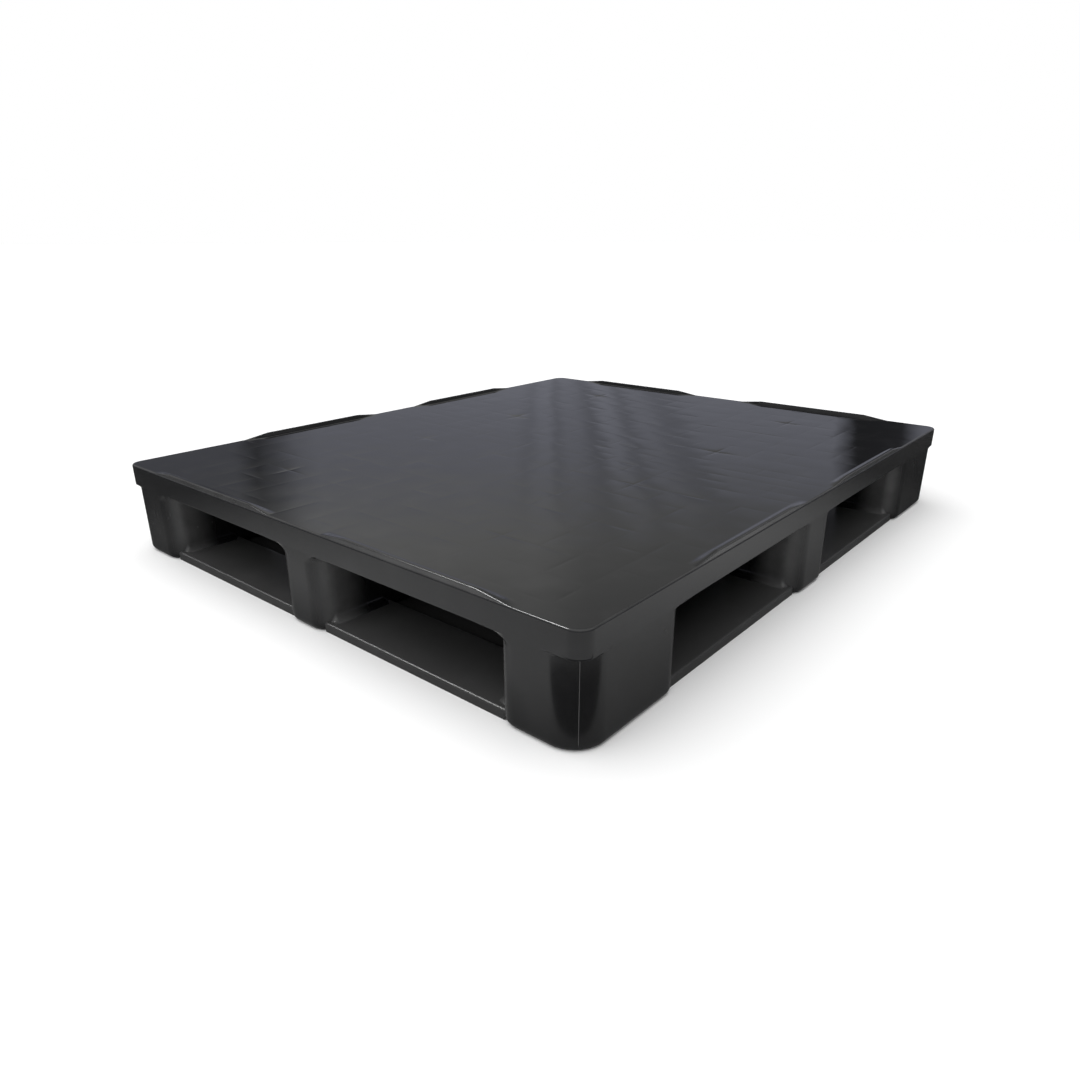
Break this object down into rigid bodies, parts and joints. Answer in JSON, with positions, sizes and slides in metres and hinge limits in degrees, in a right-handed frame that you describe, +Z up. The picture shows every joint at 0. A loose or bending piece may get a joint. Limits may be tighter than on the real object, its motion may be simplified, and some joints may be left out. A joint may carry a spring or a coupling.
{
  "type": "plastic pallet",
  "caption": "Closed-deck plastic pallet with raised edge rims, four-way fork entry, hollow block legs and a perimeter base with a middle cross.",
  "frame": {"origin": "centre of the pallet's footprint, on the floor", "axes": "+X along the long side, +Y along the short side, +Z up"},
  "size_m": [1.2, 1, 0.16],
  "materials": {
    "deck": "black moulded plastic, satin sheen, faint sink marks over the ribs, light scuffs",
    "legs": "black moulded plastic, satin sheen",
    "ribs": "black moulded plastic, dull",
    "base": "black moulded plastic, satin, scuffed top faces"
  },
  "bodies": {
    "root": {"deck_plate": "deck", "rib_tray": "ribs", "leg_front_left": "legs", "leg_front_mid": "legs", "leg_front_right": "legs", "leg_left_mid": "legs", "leg_centre": "legs", "leg_right_mid": "legs", "leg_back_left": "legs", "leg_back_mid": "legs", "leg_back_right": "legs", "board_front_left": "base", "board_front_right": "base", "board_back_left": "base", "board_back_right": "base", "board_left_front": "base", "board_left_back": "base", "board_right_front": "base", "board_right_back": "base", "runner_left": "base", "runner_right": "base", "runner_front": "base", "runner_back": "base"}
  },
  "joints": []
}
